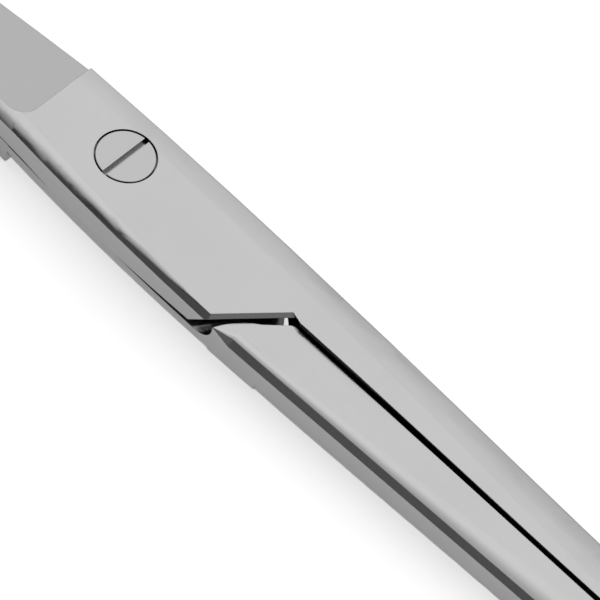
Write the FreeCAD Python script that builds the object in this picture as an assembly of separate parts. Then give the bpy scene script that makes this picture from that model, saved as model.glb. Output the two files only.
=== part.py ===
import FreeCAD, Part

import math
import os

from FreeCAD import Placement, Rotation, Vector

# Operating scissors, closed. All lengths are in millimetres and all angles in degrees.
# +X runs from the pivot towards the tips, +Z up. The origin is on the pivot axis, level
# with the underside of the joint. Each half is one forging, drawn as the upper one. The
# lower one is then turned over about the centre line of the closed pair.

# Closed pair
joint_thickness = 5.5
face_gap = 0.04
center_line_offset = 0.72

# Joint box of one half, with widths measured from the centre line of the closed pair
ricasso_x = 7.9
shank_start_x = -21.0
box_overhang_front = 4.36
box_overhang_middle = 5.1
box_overhang_back = 5.4
edge_bevel = 0.53
edge_soft_front = 2.4
edge_soft_back = 0.25
roll_land = 0.15

# Shank side of the upper half: widths from the centre line, and the crown of its top face,
# which falls off towards the side by the given slope
upper_outer_front = 4.78
upper_outer_middle = 4.93
upper_outer_back = 4.71
upper_outer_end = 4.18
upper_roll_front = 9.0
upper_roll_back = 7.0
upper_roll_end = 10.0
upper_roll_slope_front = math.radians(9.5)
upper_roll_slope_back = math.radians(16.5)
upper_roll_slope_end = math.radians(17.5)
upper_blade_edge_front = 4.77

# Shank side of the lower half, ground flush with the overhang of the upper half, with its
# edge rolled over by a quarter turn
lower_outer_front = 4.3
lower_outer_middle = 5.18
lower_outer_back = 5.21
lower_outer_end = 4.07
lower_roll_front = 2.4
lower_roll_back = 2.65
lower_roll_end = 1.1
lower_roll_slope = math.radians(90)
lower_blade_edge_front = 4.26

# Slanted shoulder at the back of the overhang
shoulder_outer_x = -15.07
shoulder_inner_x = -19.62
shoulder_inner_width = 0.3
shoulder_bevel = 0.33
shoulder_undercut = 1.65
shoulder_relief = 0.65
shoulder_relief_start_x = -5.0

# Slit between the shanks, half of its width on each half
slit_half_front = 0.08
slit_half_back = 0.23
slit_start_x = -20.4

# Rise from the inner face to the full shank, and its side bevel
rise_height = 2.06
rise_side_x = -15.85
rise_bend_x = -16.72
rise_bend_width = 3.58
rise_inner_x = -18.26
rise_inner_width = 1.99
rise_corner_x = -19.96
rise_corner_radius = 0.8
rise_root_radius = 1.5
rise_root_end_radius = 0.15
rise_bevel_length = 1.8

# Shank
neck_x = -58.1
shank_run_out = 4.1
shank_top_back = 2.04
shank_soft_start = 1.3
shank_soft_back = 4.2
shank_soft_slope = math.radians(28)
shank_bevel_back = 0.5
shank_edge_radius = 0.06
neck_outer = 4.1

# Finger ring
ring_neck_length = 2.9
ring_length = 32.0
ring_width = 26.6
ring_inner_side = 1.7
ring_corner_share = 0.47
ring_turn_share = 0.4
ring_notch_share = 0.12
ring_notch_radius_share = 0.125
ring_wall = 3.7
ring_height = 4.0
ring_round = 1.6
ring_round_slope = math.radians(90)

# Blade
tip_x = 52.0
blade_edge_tip = 1.45
blade_spine_tip = 1.55
tip_edge_radius = 1.2
tip_spine_radius = 1.4
blade_spine_height_tip = 1.15
ground_depth_ricasso = 0.06
ground_tilt_width = 1.9
ground_tilt_length = 2.35
ground_strip = 0.65
ground_corner_radius = 1.6
blade_soft_tip = 0.3
cutting_bevel_start_x = 14.0
cutting_bevel_full_x = 30.0
cutting_bevel_run = 0.55
cutting_land = 0.1
blade_relief = 0.22
blade_relief_start_x = 2.5
blade_relief_full_x = 6.0
blade_relief_end_x = 44.0

# Pivot screw
screw_head_radius = 2.5
screw_head_height = 1.15
screw_head_clearance = 0.13
screw_seat_clearance = 0.03
screw_head_chamfer = 0.05
screw_body_radius = 1.6
screw_bore_clearance = 0.04
screw_thread_clearance = 0.02
slot_width = 0.45
slot_depth = 0.55

# Working values of the construction
halfway = 0.5
margin = 1.0
overlap = 0.005
tolerance = 0.001
join_tolerance = 0.002
bevel_start = 0.1
bevel_point = 0.02
shank_stations = 6

half_thickness = joint_thickness / 2
inner_level = face_gap / 2
bevel_angle = math.radians(45)
shank_crisp_end_x = neck_x + shank_run_out
ring_front_x = neck_x - ring_neck_length
ring_back_x = ring_front_x - ring_length
ring_outer_side = ring_inner_side + ring_width
upper_side = {
    "outer": (upper_outer_front, upper_outer_middle, upper_outer_back, upper_outer_end),
    "roll": (upper_roll_front, upper_roll_back, upper_roll_end),
    "slope": (upper_roll_slope_front, upper_roll_slope_back, upper_roll_slope_end),
    "blade_edge": upper_blade_edge_front,
}
lower_side = {
    "outer": (lower_outer_front, lower_outer_middle, lower_outer_back, lower_outer_end),
    "roll": (lower_roll_front, lower_roll_back, lower_roll_end),
    "slope": (lower_roll_slope, lower_roll_slope, lower_roll_slope),
    "blade_edge": lower_blade_edge_front,
}


def line(start, end):
    return Part.LineSegment(Vector(*start), Vector(*end)).toShape()


def arc(start, middle, end):
    return Part.Arc(Vector(*start), Vector(*middle), Vector(*end)).toShape()


def mix(start, end, share):
    return start + (end - start) * share


def rounded_outline(corners):
    """Closed wire in the plane z = 0 through corners (x, y, radius), with tangent arcs."""
    spans = []
    for number, (x, y, radius) in enumerate(corners):
        corner = Vector(x, y, 0)
        before = Vector(*corners[number - 1][:2], 0) - corner
        after = Vector(*corners[(number + 1) % len(corners)][:2], 0) - corner
        if radius == 0:
            spans.append((corner, None, corner))
            continue
        before.normalize()
        after.normalize()
        half_angle = before.getAngle(after) / 2
        reach = radius / math.tan(half_angle)
        inward = (before + after).normalize()
        middle = corner + inward * (radius / math.sin(half_angle) - radius)
        spans.append((corner + before * reach, middle, corner + after * reach))
    edges = []
    for number, (start, middle, end) in enumerate(spans):
        if middle is not None:
            edges.append(Part.Arc(start, middle, end).toShape())
        edges.append(Part.LineSegment(end, spans[(number + 1) % len(spans)][0]).toShape())
    return Part.Wire(edges)


def prism(wire, bottom, top):
    face = Part.Face(wire)
    face.translate(Vector(0, 0, bottom))
    return face.extrude(Vector(0, 0, top - bottom))


def ruled_solid(sections):
    """Solid between polygons given as (x, [(y, z), ...]), with straight sides."""
    wires = []
    for x, points in sections:
        corners = [Vector(x, y, z) for y, z in points]
        wires.append(Part.makePolygon(corners + corners[:1]))
    return Part.makeLoft(wires, True, True)


def outer_place(side, x):
    """Point of the gently curved shank side of the joint box at x."""
    front, middle, back, _end = side["outer"]
    middle_x = mix(ricasso_x, shank_start_x, halfway)
    curve = Part.Circle(
        Vector(ricasso_x, -front, 0),
        Vector(middle_x, -middle, 0),
        Vector(shank_start_x, -back, 0),
    )
    drop = math.sqrt(curve.Radius ** 2 - (x - curve.Center.x) ** 2)
    return (x, curve.Center.y - drop, 0)


def slit_half(x):
    share = (x - slit_start_x) / (shank_crisp_end_x - slit_start_x)
    return mix(slit_half_front, slit_half_back, share)


def joint_box(side):
    """Flat top layer of the joint: rolled shank side, bevelled overhang and shoulder."""
    front_outer = outer_place(side, ricasso_x)
    middle_outer = outer_place(side, mix(ricasso_x, shank_start_x, halfway))
    back_outer = outer_place(side, shank_start_x)
    back_inner = (shank_start_x, -slit_half(shank_start_x), 0)
    slit_end = (slit_start_x, -slit_half(slit_start_x), 0)
    notch = (shoulder_inner_x, -shoulder_inner_width, 0)
    shoulder = (shoulder_outer_x, box_overhang_back, 0)
    overhang = (mix(ricasso_x, shoulder_outer_x, halfway), box_overhang_middle, 0)
    front_overhang = (ricasso_x, box_overhang_front, 0)
    outline = Part.Wire([
        arc(front_outer, middle_outer, back_outer),
        line(back_outer, back_inner),
        line(back_inner, slit_end),
        line(slit_end, notch),
        line(notch, shoulder),
        arc(shoulder, overhang, front_overhang),
        line(front_overhang, front_outer),
    ])
    box = prism(outline, inner_level, half_thickness)
    box = rolled_side(box, side)
    slant = [mix(notch[0], shoulder[0], halfway), mix(notch[1], shoulder[1], halfway)]
    box = box.makeChamfer(edge_bevel, [edge_near(box, Vector(*overhang[:2], half_thickness))])
    box = box.makeChamfer(shoulder_bevel, [edge_near(box, Vector(*slant, half_thickness))])
    soft_place = Vector(overhang[0], overhang[1] - edge_bevel, half_thickness)
    return graded_fillet(box, soft_place, edge_soft_front, edge_soft_back)


def crest(side, share):
    """Edge of the flat top above the crown, with the slope and reach of the crown there."""
    x = mix(ricasso_x, shank_start_x, share)
    slope = mix(*side["slope"][:2], share)
    reach = roll_land + mix(*side["roll"][:2], share) * math.tan(slope / 2)
    return x, outer_place(side, x)[1] + reach * math.cos(slope), slope, reach


def rolled_side(box, side):
    """Round the top edge of the shank side: a full roll, or a crown with a short flat land."""
    if side["slope"][0] > bevel_angle:
        middle_x = mix(ricasso_x, shank_start_x, halfway)
        side_place = Vector(*outer_place(side, middle_x)[:2], half_thickness)
        return graded_fillet(box, side_place, *side["roll"][:2])
    wires = []
    for share in (0, halfway, 1):
        x, y, slope, reach = crest(side, share)
        past = reach + margin
        outside = y - past * math.cos(slope)
        wires.append(Part.makePolygon([
            Vector(x, y, half_thickness),
            Vector(x, outside, half_thickness - past * math.sin(slope)),
            Vector(x, outside, half_thickness + margin),
            Vector(x, y, half_thickness + margin),
            Vector(x, y, half_thickness),
        ]))
    box = box.cut(Part.makeLoft(wires, True, False))
    x, y, _slope, _reach = crest(side, halfway)
    return graded_fillet(box, Vector(x, y, half_thickness), *side["roll"][:2])


def edge_near(shape, place):
    return min(shape.Edges, key=lambda edge: edge.distToShape(Part.Vertex(place))[0])


def graded_fillet(shape, place, front_radius, back_radius):
    """Fillet the edge at the place, from one radius at its +X end to another at its -X end."""
    edge = edge_near(shape, place)
    if edge.valueAt(edge.FirstParameter).x > edge.valueAt(edge.LastParameter).x:
        return shape.makeFillet(front_radius, back_radius, [edge])
    return shape.makeFillet(back_radius, front_radius, [edge])


def rise_outline(side):
    """Plan of the part below the inner face, between the rise and the shank."""
    front_outer = outer_place(side, rise_side_x)
    middle_outer = outer_place(side, mix(rise_side_x, shank_start_x, halfway))
    back_outer = outer_place(side, shank_start_x)
    bend = (rise_bend_x, -rise_bend_width, 0)
    inner = (rise_inner_x, -rise_inner_width, 0)
    corner = (rise_corner_x, -slit_half(rise_corner_x))
    slant = Vector(inner[0] - corner[0], inner[1] - corner[1], 0).normalize()
    half_angle = slant.getAngle(Vector(-1, 0, 0)) / 2
    reach = rise_corner_radius / math.tan(half_angle)
    start = Vector(*corner, 0) + slant * reach
    end = Vector(corner[0] - reach, corner[1], 0)
    inward = (slant + Vector(-1, 0, 0)).normalize()
    middle = Vector(*corner, 0) + inward * (rise_corner_radius / math.sin(half_angle) - rise_corner_radius)
    back_inner = (shank_start_x, -slit_half(shank_start_x), 0)
    return Part.Wire([
        arc(front_outer, bend, inner),
        line(inner, start),
        Part.Arc(start, middle, end).toShape(),
        line(end, back_inner),
        line(back_inner, back_outer),
        arc(back_outer, middle_outer, front_outer),
    ])


def rise_root(shape):
    """Hollow fillet between the inner face and the front wall of the rise."""
    root_place = Vector(rise_bend_x, -rise_bend_width, inner_level)
    return graded_fillet(shape, root_place, rise_root_radius, rise_root_end_radius)


def soft_bevel(x, side_y, bottom, soft, bevel_run):
    """Places on a bevel under a shallow rounding: three on the rounding, one on the side."""
    start_y = side_y + bevel_run + soft * math.sin(shank_soft_slope)
    places = []
    for share in (0, halfway, 1):
        slope = shank_soft_slope * share
        places.append((
            x,
            start_y - soft * math.sin(slope),
            -bottom + soft * (1 - math.cos(slope)),
        ))
    return *places, (x, side_y, places[-1][2] + bevel_run)


def shank_section(x, outer, inner, top, bottom, roll, slope, inner_radius, soft, bevel_run):
    """Closed section of the shank in the plane at x, with every corner as an arc."""
    bend = math.cos(bevel_angle)
    soft_start, soft_middle, soft_end, side_low = soft_bevel(x, -outer, bottom, soft, bevel_run)
    land_y = -outer + roll_land * math.cos(slope)
    land = (x, land_y, top - roll * (1 - math.cos(slope)))
    side_high = (x, -outer, land[2] - roll_land * math.sin(slope))
    roll_end = (x, land_y + roll * math.sin(slope), top)
    roll_middle = (
        x,
        roll_end[1] - roll * math.sin(slope / 2),
        top - roll * (1 - math.cos(slope / 2)),
    )
    top_end = (x, -inner - inner_radius, top)
    top_corner = (x, -inner - inner_radius * (1 - bend), top - inner_radius * (1 - bend))
    inner_high = (x, -inner, top - inner_radius)
    inner_low = (x, -inner, -bottom + inner_radius)
    low_corner = (x, -inner - inner_radius * (1 - bend), -bottom + inner_radius * (1 - bend))
    bottom_end = (x, -inner - inner_radius, -bottom)
    return Part.Wire([
        line(soft_start, bottom_end),
        arc(bottom_end, low_corner, inner_low),
        line(inner_low, inner_high),
        arc(inner_high, top_corner, top_end),
        line(top_end, roll_end),
        arc(roll_end, roll_middle, land),
        line(land, side_high),
        line(side_high, side_low),
        line(side_low, soft_end),
        arc(soft_end, soft_middle, soft_start),
    ])


def shank(side):
    """Shank from the shoulder to where its crisp edges run out, as a smooth loft."""
    _front, _middle, outer_back, outer_end = side["outer"]
    _roll_front, roll_back, roll_end = side["roll"]
    _slope_front, slope_back, slope_end = side["slope"]
    wires = []
    for number in range(shank_stations):
        step = number / (shank_stations - 1)
        share = step * step
        ease = share * share * (3 - 2 * share)
        x = mix(shank_start_x, shank_crisp_end_x, share)
        wires.append(shank_section(
            x,
            outer=mix(outer_back, outer_end, share),
            inner=slit_half(x),
            top=mix(half_thickness, shank_top_back, ease),
            bottom=mix(rise_height, shank_top_back, ease),
            roll=mix(roll_back, roll_end, share),
            slope=mix(slope_back, slope_end, share),
            inner_radius=shank_edge_radius,
            soft=mix(shank_soft_start, shank_soft_back, share),
            bevel_run=mix(edge_bevel, shank_bevel_back, share),
        ))
    return Part.makeLoft(wires, True, False), wires[-1]


def run_out(crisp_wire):
    """Short stretch where the edges of the shank grow into the rounding of the ring."""
    round_wire = shank_section(
        neck_x,
        outer=neck_outer,
        inner=slit_half_back,
        top=ring_height / 2,
        bottom=ring_height / 2,
        roll=ring_round,
        slope=ring_round_slope,
        inner_radius=ring_round,
        soft=ring_round,
        bevel_run=shank_bevel_back,
    )
    return Part.makeLoft([crisp_wire, round_wire], True, True)


def finger_ring():
    """Oval finger ring with the neck that joins it to the shank, rounded all over."""
    corner_radius = ring_corner_share * ring_width
    hole_radius = corner_radius - ring_wall
    notch_x = ring_front_x - ring_notch_share * ring_width
    outline = rounded_outline([
        (neck_x, -slit_half_back, 0),
        (ring_back_x, -ring_inner_side, corner_radius),
        (ring_back_x, -ring_outer_side, corner_radius),
        (ring_front_x, -ring_outer_side, corner_radius),
        (ring_front_x, -ring_inner_side - ring_turn_share * ring_width, corner_radius),
        (notch_x, -neck_outer, ring_notch_radius_share * ring_width),
        (neck_x, -neck_outer, 0),
    ])
    low_y = -ring_outer_side + ring_wall
    high_y = -ring_inner_side - ring_wall
    hole = rounded_outline([
        (ring_front_x - ring_wall, low_y, hole_radius),
        (ring_front_x - ring_wall, high_y, hole_radius),
        (ring_back_x + ring_wall, high_y, hole_radius),
        (ring_back_x + ring_wall, low_y, hole_radius),
    ])
    ring = prism(outline, -ring_height / 2, ring_height / 2)
    ring = ring.cut(prism(hole, -ring_height, ring_height))
    rims = []
    for edge in ring.Edges:
        box = edge.BoundBox
        level = box.ZLength < tolerance
        at_neck = box.XLength < tolerance and box.XMax > neck_x - tolerance
        if level and not at_neck:
            rims.append(edge)
    return ring.makeFillet(ring_round, rims)


def side_bevel(blank, side):
    """Bevel on the side of the rise that starts as a point where the rise begins."""
    wires = []
    for x, share in [
        (rise_side_x + bevel_start, bevel_point),
        (rise_side_x - rise_bevel_length, 1),
        (shank_start_x, 1),
    ]:
        start, middle, end, low = soft_bevel(
            x, outer_place(side, x)[1], rise_height, shank_soft_start * share, edge_bevel * share)
        outside = low[1] - margin
        below = -rise_height - margin
        wires.append(Part.Wire([
            arc(start, middle, end),
            line(end, low),
            line(low, (x, outside, low[2])),
            line((x, outside, low[2]), (x, outside, below)),
            line((x, outside, below), (x, start[1], below)),
            line((x, start[1], below), start),
        ]))
    return blank.cut(Part.makeLoft(wires, True, True))


def shoulder_undercut_cut():
    """Space under the bevel of the shoulder, whose wall leans in towards the inner face."""
    inner_end = Vector(shoulder_inner_x, -shoulder_inner_width, 0)
    along = Vector(shoulder_outer_x, box_overhang_back, 0) - inner_end
    length = along.Length + 2 * margin
    along.normalize()
    outward = along.cross(Vector(0, 0, -1))
    bevel_level = Vector(0, 0, half_thickness - shoulder_bevel)
    slope = shoulder_undercut / (half_thickness - shoulder_bevel - inner_level)
    depth = slope * (half_thickness - shoulder_bevel)
    profile = Part.Face(Part.makePolygon([
        inner_end + bevel_level,
        inner_end + bevel_level + outward * margin,
        inner_end + outward * margin,
        inner_end - outward * depth,
        inner_end + bevel_level,
    ]))
    return profile.extrude(along * length)


def shoulder_relief_cut():
    """Wedge that thins the outer corner of the overhang from its inner face."""
    hinge_start = Vector(shoulder_relief_start_x, box_overhang_middle, inner_level)
    hinge_end = Vector(shoulder_inner_x, -shoulder_inner_width, inner_level)
    along = (hinge_end - hinge_start).normalize()
    across = along.cross(Vector(0, 0, 1)).normalize()
    corner = Vector(shoulder_outer_x, box_overhang_back, inner_level)
    distance = (corner - hinge_start).dot(across)
    start = hinge_start - along * distance
    far = start + across * (2 * distance)
    drop = Vector(0, 0, 2 * inner_level)
    rise = Vector(0, 0, 2 * shoulder_relief)
    profile = Part.Face(Part.makePolygon([start, far + rise, far - drop, start - drop, start]))
    length = (hinge_end - hinge_start).Length + 2 * distance
    return profile.extrude(along * length)


def blade_side(x, front, tip):
    share = (x - ricasso_x) / (tip_x - ricasso_x)
    return mix(front, tip, share)


def blade_edge(side, x):
    return -blade_side(x, side["blade_edge"], blade_edge_tip)


def blade_spine(x):
    return blade_side(x, box_overhang_front, blade_spine_tip)


def blade(side):
    """Ground blade from the ricasso to the rounded tip."""
    outline = rounded_outline([
        (ricasso_x, blade_edge(side, ricasso_x), 0),
        (tip_x, blade_edge(side, tip_x), tip_edge_radius),
        (tip_x, blade_spine(tip_x), tip_spine_radius),
        (ricasso_x, blade_spine(ricasso_x), 0),
    ])
    shape = prism(outline, inner_level, half_thickness)
    past_tip_x = tip_x + margin
    slope = (half_thickness - blade_spine_height_tip) / (tip_x - ricasso_x)
    spine_end = half_thickness - slope * (past_tip_x - ricasso_x)
    above = half_thickness + margin
    width = 2 * box_overhang_back
    taper = Part.Face(Part.makePolygon([
        Vector(ricasso_x, -width, half_thickness),
        Vector(past_tip_x, -width, spine_end),
        Vector(past_tip_x, -width, above),
        Vector(ricasso_x, -width, above),
        Vector(ricasso_x, -width, half_thickness),
    ])).extrude(Vector(0, 2 * width, 0))
    shape = shape.cut(taper)
    spine_middle_x = mix(ricasso_x, tip_x, halfway)
    spine_level = half_thickness - slope * (spine_middle_x - ricasso_x)
    spine_place = Vector(spine_middle_x, blade_spine(spine_middle_x), spine_level)
    spine_edge = edge_near(shape, spine_place)
    shape = shape.makeChamfer(edge_bevel, [spine_edge])
    soft_place = spine_place - Vector(0, edge_bevel, 0)
    shape = graded_fillet(shape, soft_place, blade_soft_tip, edge_soft_front)
    shape = shape.cut(ground_cut(side))
    return shape.cut(cutting_bevel(side))


def ground_cut(side):
    """Space above the ground face, with a rounded corner between ricasso and spine."""
    past_tip_x = tip_x + margin
    strip_front = blade_spine(ricasso_x) - edge_bevel - ground_strip
    strip_tip = blade_spine(past_tip_x) - edge_bevel
    low_y = blade_edge(side, ricasso_x) - margin
    outline = rounded_outline([
        (ricasso_x, low_y, 0),
        (past_tip_x, low_y, 0),
        (past_tip_x, strip_tip, 0),
        (ricasso_x, strip_front, ground_corner_radius),
    ])
    space = prism(outline, 0, joint_thickness)
    reach = 2 * tip_x
    block = Part.makeBox(2 * reach, 2 * reach, joint_thickness, Vector(-reach, -reach, 0))
    tilt = Rotation(Vector(0, 1, 0), ground_tilt_length).multiply(
        Rotation(Vector(1, 0, 0), ground_tilt_width))
    corner = Vector(ricasso_x, strip_front, half_thickness - ground_depth_ricasso)
    block.Placement = Placement(corner, tilt)
    return space.common(block)


def cutting_bevel(side):
    """Space outside the sharpened edge, which starts a little in front of the ricasso."""
    sections = []
    top = half_thickness + margin
    for x, run in [
        (cutting_bevel_start_x, bevel_point),
        (cutting_bevel_full_x, cutting_bevel_run),
        (tip_x + margin, cutting_bevel_run),
    ]:
        edge_y = blade_edge(side, x)
        sections.append((x, [
            (edge_y - margin, inner_level + cutting_land),
            (edge_y, inner_level + cutting_land),
            (edge_y + run * top / half_thickness, top),
            (edge_y - margin, top),
        ]))
    return ruled_solid(sections)


def blade_relief_cut(side):
    """Thin space under the blade, so that the blades touch at their edges and tips only."""
    sections = []
    below = -margin
    for x, relief in [
        (blade_relief_start_x, -overlap),
        (blade_relief_full_x, blade_relief),
        (blade_relief_end_x, blade_relief),
        (tip_x + margin, -overlap),
    ]:
        low_y = -box_overhang_back - margin
        edge_y = blade_edge(side, x)
        spine_y = blade_spine(x)
        high_y = box_overhang_middle + margin
        sections.append((x, [
            (low_y, below),
            (low_y, inner_level - overlap),
            (edge_y, inner_level - overlap),
            (spine_y, inner_level + relief),
            (high_y, inner_level + relief),
            (high_y, below),
        ]))
    return ruled_solid(sections)


def forging(side):
    """One half before drilling, centred on the centre line and the middle plane."""
    rise = prism(rise_outline(side), -rise_height, inner_level + margin)
    front = joint_box(side).fuse(rise).removeSplitter()
    front = rise_root(front)
    front = side_bevel(front, side)
    front = front.cut(shoulder_undercut_cut())
    front = front.cut(shoulder_relief_cut())
    front = front.multiFuse([blade(side)], join_tolerance)
    front = front.cut(blade_relief_cut(side))
    crisp_shank, crisp_wire = shank(side)
    return front.multiFuse([crisp_shank, run_out(crisp_wire), finger_ring()], join_tolerance)


def placed(shape):
    moved = shape.copy()
    moved.translate(Vector(0, center_line_offset, half_thickness))
    return moved


def pivot_cylinder(radius, bottom, top):
    return Part.makeCylinder(radius, top - bottom, Vector(0, 0, bottom))


def upper_half():
    head_radius = screw_head_radius + screw_head_clearance
    seat_level = joint_thickness - screw_head_height - screw_seat_clearance
    shape = placed(forging(upper_side))
    shape = shape.cut(pivot_cylinder(screw_body_radius + screw_bore_clearance, 0, joint_thickness))
    return shape.cut(pivot_cylinder(head_radius, seat_level, joint_thickness + margin))


def lower_half():
    turned = forging(lower_side)
    turned.rotate(Vector(0, 0, 0), Vector(1, 0, 0), 180)
    shape = placed(turned)
    bore_radius = screw_body_radius + screw_thread_clearance
    return shape.cut(pivot_cylinder(bore_radius, -margin, joint_thickness))


def pivot_screw():
    head_bottom = joint_thickness - screw_head_height
    head = pivot_cylinder(screw_head_radius, head_bottom, joint_thickness)
    rim = [edge for edge in head.Edges if edge.BoundBox.ZMin > joint_thickness - tolerance]
    head = head.makeChamfer(screw_head_chamfer, rim)
    shape = head.fuse(pivot_cylinder(screw_body_radius, 0, head_bottom))
    slot = Part.makeBox(
        slot_width, 4 * screw_head_radius, slot_depth + margin,
        Vector(-slot_width / 2, -2 * screw_head_radius, joint_thickness - slot_depth),
    )
    return shape.cut(slot)


def main():
    os.makedirs("parts", exist_ok=True)
    pieces = {
        "upper_half": upper_half(),
        "lower_half": lower_half(),
        "pivot_screw": pivot_screw(),
    }
    for name, shape in pieces.items():
        solid = shape.Solids[0]
        print(name, shape.isValid(), len(shape.Solids), len(shape.Faces), round(solid.Volume, 1))
        solid.exportStep(os.path.join("parts", name + ".step"))


main()
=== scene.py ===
import math

import bpy
from mathutils import Matrix, Vector

# Operating scissors in satin stainless steel, lying closed on a white surface. Lengths are
# in metres unless a name says otherwise, in the frame of the CAD model: +X towards the tips,
# +Z up, the origin on the pivot axis, level with the underside of the joint.

# Camera
VIEW_FROM = Vector((-0.29646, 0.49329, 0.8178))
VIEW_ROLL_DEG = 15.92
VIEW_CENTER = Vector((-0.018808, -0.00094, 0.0055))
VIEW_WIDTH = 0.048
LENS_MM = 1200.0
SENSOR_MM = 36.0
CLIP_START = 0.01
CLIP_END = 20.0

# Floor and light
FLOOR_SIZE = 12.0
FLOOR_DROP = 0.00003
FLOOR_COLOR = (0.8, 0.8, 0.8)
FLOOR_LIFT = 0.63
FLOOR_LIFT_IN_METAL = 0.3
DOME_STRENGTH = 1.0
# Brightness of the tent by the height of the direction (its sine), on the -Y side
DOME_RAMP = ((0.0, 0.2), (0.3, 0.42), (0.45, 0.66), (0.62, 0.84), (0.82, 0.98), (1.0, 1.05))
# The dark opening on the +Y side: how dark by the +Y share of the direction
DARK_DIRECTION = Vector((-0.1, 0.9, 0.1))
DARK_RAMP = (
    (0.0, 0.95), (0.07, 0.86), (0.235, 0.69), (0.387, 0.5), (0.46, 0.38), (0.5, 0.3),
    (0.54, 0.035), (0.7, 0.05), (0.83, 0.14), (1.0, 0.3),
)

# Faces told apart by their place, and by the direction that they face in the closed pair; the
# seat, slit and undercut places mark where shadow is painted
GROUND_START_X = 0.00785
GROUND_LEVEL_Z = 0.99
GROUND_LEAN = (-0.05, -0.02)
STEEP_Z = 0.3
SEAT_RADIUS = 0.0027
SLIT_START_X = -0.0204
SLIT_Y = (0.0002, 0.0012)
UNDERCUT_X = (-0.0206, -0.0145)
UNDERCUT_Y = (-0.002, 0.0044)
UNDERCUT_TOP_Z = 0.00512
UNDERCUT_STEEP_Z = 0.9

# Steel, as brightness and roughness, with painted shade on steep faces and painted shadow in
# crevices
STEEL_COLOR = (0.61, 0.61, 0.615)
STEEL_ROUGHNESS = 0.2
SCREW_SHADE = 0.94
GROUND_SHADE = 0.88
GROUND_ROUGHNESS = 0.12
# Painted shadow: how dark the screw seat, slit, undercut and the screw's steep faces are made
PAINTED_CREVICE_SHADOW = 0.15
# Painted shade: how much darker the steep side faces are made
PAINTED_SIDE_SHADE = 0.82
POLISH_SCALE = 160.0
POLISH_DETAIL = 3.0
POLISH_SHADE = 0.05
POLISH_ROUGHNESS = 0.08
GRAIN_SCALE = (900.0, 14000.0, 14000.0)
GRAIN_DETAIL = 2.0
GRAIN_SHADE = 0.03
GRAIN_DEPTH = 0.0000006
EDGE_RADIUS = 0.00006
EDGE_SAMPLES = 4

# Working values of the nodes
NOISE_MIDDLE = 0.5
NEW_STOP = 0.5
WHITE = (1.0, 1.0, 1.0, 1.0)
LEVEL_PLANE = (1.0, 1.0, 0.0)


def node_tree(owner):
    owner.use_nodes = True
    owner.node_tree.nodes.clear()
    return owner.node_tree.nodes, owner.node_tree.links


def math_node(nodes, links, operation, first, second=None):
    node = nodes.new("ShaderNodeMath")
    node.operation = operation
    for number, value in enumerate((first, second)):
        if value is None:
            continue
        if isinstance(value, (int, float)):
            node.inputs[number].default_value = value
        else:
            links.new(value, node.inputs[number])
    return node.outputs["Value"]


def ramp_node(nodes, links, value, stops):
    ramp = nodes.new("ShaderNodeValToRGB")
    while len(ramp.color_ramp.elements) < len(stops):
        ramp.color_ramp.elements.new(NEW_STOP)
    for element, (position, level) in zip(ramp.color_ramp.elements, stops):
        element.position = position
        element.color = (level, level, level, 1.0)
    links.new(value, ramp.inputs["Fac"])
    return ramp.outputs["Color"]


def between(nodes, links, value, low, high):
    above = math_node(nodes, links, "GREATER_THAN", value, low)
    below = math_node(nodes, links, "LESS_THAN", value, high)
    return math_node(nodes, links, "MULTIPLY", above, below)


def all_of(nodes, links, first, *others):
    """Mask that is 1 where every given mask is 1."""
    for mask in others:
        first = math_node(nodes, links, "MULTIPLY", first, mask)
    return first


def shade_by(nodes, links, base, mask, shade):
    """Multiply the base brightness by the shade where the mask is 1."""
    factor = math_node(nodes, links, "MULTIPLY", mask, shade - 1.0)
    factor = math_node(nodes, links, "ADD", factor, 1.0)
    return math_node(nodes, links, "MULTIPLY", base, factor)


def noise(nodes, links, place, scale, detail):
    mapping = nodes.new("ShaderNodeMapping")
    mapping.inputs["Scale"].default_value = scale
    links.new(place, mapping.inputs["Vector"])
    node = nodes.new("ShaderNodeTexNoise")
    node.inputs["Scale"].default_value = 1.0
    node.inputs["Detail"].default_value = detail
    links.new(mapping.outputs["Vector"], node.inputs["Vector"])
    return node.outputs["Fac"]


def centered(nodes, links, value, span):
    """Turn a noise from 0 to 1 into one from -span to span."""
    value = math_node(nodes, links, "SUBTRACT", value, NOISE_MIDDLE)
    return math_node(nodes, links, "MULTIPLY", value, 2 * span)


def ground_mask(nodes, links, at, slope, steepness):
    """Faces of the blades that lean as the ground faces do."""
    ahead = math_node(nodes, links, "GREATER_THAN", at["X"], GROUND_START_X)
    flat = math_node(nodes, links, "GREATER_THAN", steepness, GROUND_LEVEL_Z)
    lean = math_node(nodes, links, "MULTIPLY", slope["Y"], slope["Z"])
    lean = between(nodes, links, lean, *GROUND_LEAN)
    return all_of(nodes, links, ahead, flat, lean)


def gap_shadow_mask(nodes, links, place, at, steep):
    """Walls of the screw seat and of the slit between the shanks, where shadow is painted."""
    level = nodes.new("ShaderNodeVectorMath")
    level.operation = "MULTIPLY"
    level.inputs[1].default_value = LEVEL_PLANE
    links.new(place, level.inputs[0])
    radius = nodes.new("ShaderNodeVectorMath")
    radius.operation = "LENGTH"
    links.new(level.outputs["Vector"], radius.inputs[0])
    seat = math_node(nodes, links, "LESS_THAN", radius.outputs["Value"], SEAT_RADIUS)
    behind = math_node(nodes, links, "LESS_THAN", at["X"], SLIT_START_X)
    inside = between(nodes, links, at["Y"], *SLIT_Y)
    slit = all_of(nodes, links, behind, inside)
    either = math_node(nodes, links, "MAXIMUM", seat, slit)
    return all_of(nodes, links, either, steep)


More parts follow.
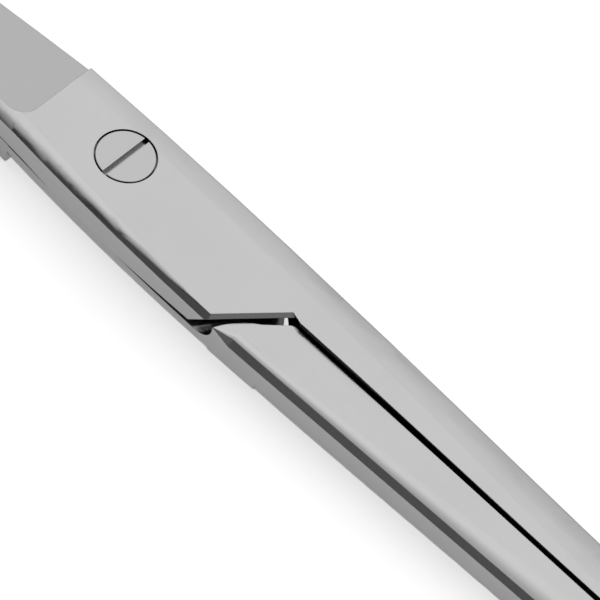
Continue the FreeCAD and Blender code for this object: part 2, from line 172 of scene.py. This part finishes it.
def undercut_shadow_mask(nodes, links, at, steepness):
    """Leaning and steep faces under the bevel of the shoulder, where shadow is painted."""
    along = between(nodes, links, at["X"], *UNDERCUT_X)
    across = between(nodes, links, at["Y"], *UNDERCUT_Y)
    below = math_node(nodes, links, "LESS_THAN", at["Z"], UNDERCUT_TOP_Z)
    leaning = math_node(nodes, links, "LESS_THAN", steepness, UNDERCUT_STEEP_Z)
    return all_of(nodes, links, along, across, below, leaning)


def steel(name, with_screw):
    """Satin ground steel: fine lengthwise grain, uneven polish, and duller ground faces, with
    painted shade on steep faces and painted shadow in the crevices.
    """
    material = bpy.data.materials.new(name)
    nodes, links = node_tree(material)
    output = nodes.new("ShaderNodeOutputMaterial")
    shader = nodes.new("ShaderNodeBsdfPrincipled")
    shader.inputs["Metallic"].default_value = 1.0
    links.new(shader.outputs["BSDF"], output.inputs["Surface"])
    place = nodes.new("ShaderNodeTexCoord").outputs["Object"]
    split = nodes.new("ShaderNodeSeparateXYZ")
    links.new(place, split.inputs["Vector"])
    geometry = nodes.new("ShaderNodeNewGeometry")
    facing = nodes.new("ShaderNodeSeparateXYZ")
    links.new(geometry.outputs["True Normal"], facing.inputs["Vector"])
    at = split.outputs
    slope = facing.outputs
    steepness = math_node(nodes, links, "ABSOLUTE", slope["Z"])
    steep = math_node(nodes, links, "LESS_THAN", steepness, STEEP_Z)
    polish = noise(nodes, links, place, (POLISH_SCALE,) * 3, POLISH_DETAIL)
    grain = noise(nodes, links, place, GRAIN_SCALE, GRAIN_DETAIL)
    uneven = centered(nodes, links, polish, POLISH_SHADE)
    streaks = centered(nodes, links, grain, GRAIN_SHADE)
    shade = math_node(nodes, links, "ADD", uneven, streaks)
    shade = math_node(nodes, links, "ADD", shade, 1.0)
    rough = centered(nodes, links, polish, POLISH_ROUGHNESS)
    rough = math_node(nodes, links, "ADD", rough, STEEL_ROUGHNESS)
    if with_screw:
        shade = math_node(nodes, links, "MULTIPLY", shade, SCREW_SHADE)
        # Painted shadow on the steep faces of the screw: the rim of its head and the walls of
        # its slot
        shade = shade_by(nodes, links, shade, steep, PAINTED_CREVICE_SHADOW)
    else:
        ground = ground_mask(nodes, links, at, slope, steepness)
        gap_shadow = gap_shadow_mask(nodes, links, place, at, steep)
        undercut_shadow = undercut_shadow_mask(nodes, links, at, steepness)
        shade = shade_by(nodes, links, shade, ground, GROUND_SHADE)
        duller = math_node(nodes, links, "MULTIPLY", ground, GROUND_ROUGHNESS)
        rough = math_node(nodes, links, "ADD", rough, duller)
        # Painted shade on all steep side faces
        shade = shade_by(nodes, links, shade, steep, PAINTED_SIDE_SHADE)
        # Painted shadow in the screw seat, the slit and under the shoulder, where little
        # light reaches
        shade = shade_by(nodes, links, shade, gap_shadow, PAINTED_CREVICE_SHADOW)
        shade = shade_by(nodes, links, shade, undercut_shadow, PAINTED_CREVICE_SHADOW)
    color = nodes.new("ShaderNodeCombineColor")
    for channel, level in zip(("Red", "Green", "Blue"), STEEL_COLOR):
        links.new(math_node(nodes, links, "MULTIPLY", shade, level), color.inputs[channel])
    links.new(color.outputs["Color"], shader.inputs["Base Color"])
    links.new(rough, shader.inputs["Roughness"])
    edge = nodes.new("ShaderNodeBevel")
    edge.samples = EDGE_SAMPLES
    edge.inputs["Radius"].default_value = EDGE_RADIUS
    bump = nodes.new("ShaderNodeBump")
    bump.inputs["Distance"].default_value = GRAIN_DEPTH
    links.new(grain, bump.inputs["Height"])
    links.new(edge.outputs["Normal"], bump.inputs["Normal"])
    links.new(bump.outputs["Normal"], shader.inputs["Normal"])
    return material


def make_camera():
    """Camera at the photograph's angle, with the picture's roll about the line of sight."""
    back = VIEW_FROM.normalized()
    level_right = Vector((0, 0, 1)).cross(back).normalized()
    right = Matrix.Rotation(math.radians(VIEW_ROLL_DEG), 3, back) @ level_right
    up = back.cross(right)
    camera = bpy.data.objects.new("camera", bpy.data.cameras.new("camera"))
    bpy.context.scene.collection.objects.link(camera)
    camera.data.lens = LENS_MM
    camera.data.sensor_width = SENSOR_MM
    distance = VIEW_WIDTH * LENS_MM / SENSOR_MM
    place = VIEW_CENTER + back * distance
    turn = Matrix((right, up, back)).transposed()
    camera.matrix_world = Matrix.Translation(place) @ turn.to_4x4()
    camera.data.clip_start = CLIP_START
    camera.data.clip_end = CLIP_END
    bpy.context.scene.camera = camera


def make_floor():
    half = FLOOR_SIZE / 2
    mesh = bpy.data.meshes.new("floor")
    corners = [(-half, -half), (half, -half), (half, half), (-half, half)]
    mesh.from_pydata([(x, y, -FLOOR_DROP) for x, y in corners], [], [(0, 1, 2, 3)])
    floor = bpy.data.objects.new("floor", mesh)
    bpy.context.scene.collection.objects.link(floor)
    material = bpy.data.materials.new("floor_white")
    nodes, links = node_tree(material)
    output = nodes.new("ShaderNodeOutputMaterial")
    diffuse = nodes.new("ShaderNodeBsdfDiffuse")
    diffuse.inputs["Color"].default_value = (*FLOOR_COLOR, 1.0)
    glow = nodes.new("ShaderNodeEmission")
    path = nodes.new("ShaderNodeLightPath")
    by_camera = math_node(nodes, links, "MULTIPLY", path.outputs["Is Camera Ray"], FLOOR_LIFT)
    by_metal = math_node(
        nodes, links, "MULTIPLY", path.outputs["Is Glossy Ray"], FLOOR_LIFT_IN_METAL)
    lift = math_node(nodes, links, "MAXIMUM", by_camera, by_metal)
    links.new(lift, glow.inputs["Strength"])
    both = nodes.new("ShaderNodeAddShader")
    links.new(diffuse.outputs["BSDF"], both.inputs[0])
    links.new(glow.outputs["Emission"], both.inputs[1])
    links.new(both.outputs["Shader"], output.inputs["Surface"])
    mesh.materials.append(material)


def make_world():
    """Light tent, brightest overhead, with one dark opening that the bevels reflect."""
    world = bpy.data.worlds.new("tent")
    bpy.context.scene.world = world
    nodes, links = node_tree(world)
    output = nodes.new("ShaderNodeOutputWorld")
    place = nodes.new("ShaderNodeTexCoord")
    split = nodes.new("ShaderNodeSeparateXYZ")
    links.new(place.outputs["Generated"], split.inputs["Vector"])
    height = ramp_node(nodes, links, split.outputs["Z"], DOME_RAMP)
    dot = nodes.new("ShaderNodeVectorMath")
    dot.operation = "DOT_PRODUCT"
    dot.inputs[1].default_value = DARK_DIRECTION.normalized()
    links.new(place.outputs["Generated"], dot.inputs[0])
    opening = ramp_node(nodes, links, dot.outputs["Value"], DARK_RAMP)
    level = math_node(nodes, links, "MULTIPLY", height, opening)
    dome = nodes.new("ShaderNodeBackground")
    dome.inputs["Strength"].default_value = DOME_STRENGTH
    links.new(level, dome.inputs["Color"])
    white = nodes.new("ShaderNodeBackground")
    white.inputs["Color"].default_value = WHITE
    path = nodes.new("ShaderNodeLightPath")
    mix = nodes.new("ShaderNodeMixShader")
    links.new(path.outputs["Is Camera Ray"], mix.inputs["Fac"])
    links.new(dome.outputs["Background"], mix.inputs[1])
    links.new(white.outputs["Background"], mix.inputs[2])
    links.new(mix.outputs["Shader"], output.inputs["Surface"])


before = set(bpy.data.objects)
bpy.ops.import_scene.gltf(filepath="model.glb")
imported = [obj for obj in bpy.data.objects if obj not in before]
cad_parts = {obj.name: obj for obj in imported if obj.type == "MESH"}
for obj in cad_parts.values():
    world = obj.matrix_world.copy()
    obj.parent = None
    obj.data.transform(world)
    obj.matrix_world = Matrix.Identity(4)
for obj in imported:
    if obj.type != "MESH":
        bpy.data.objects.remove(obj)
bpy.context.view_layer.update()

satin = steel("satin_steel", with_screw=False)
screw_satin = steel("screw_steel", with_screw=True)
for node, material in [
    ("upper_half", satin),
    ("lower_half", satin),
    ("pivot_screw", screw_satin),
]:
    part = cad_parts[node]
    part.data.materials.clear()
    part.data.materials.append(material)

make_camera()
make_floor()
make_world()
bpy.context.scene.view_settings.view_transform = "Standard"
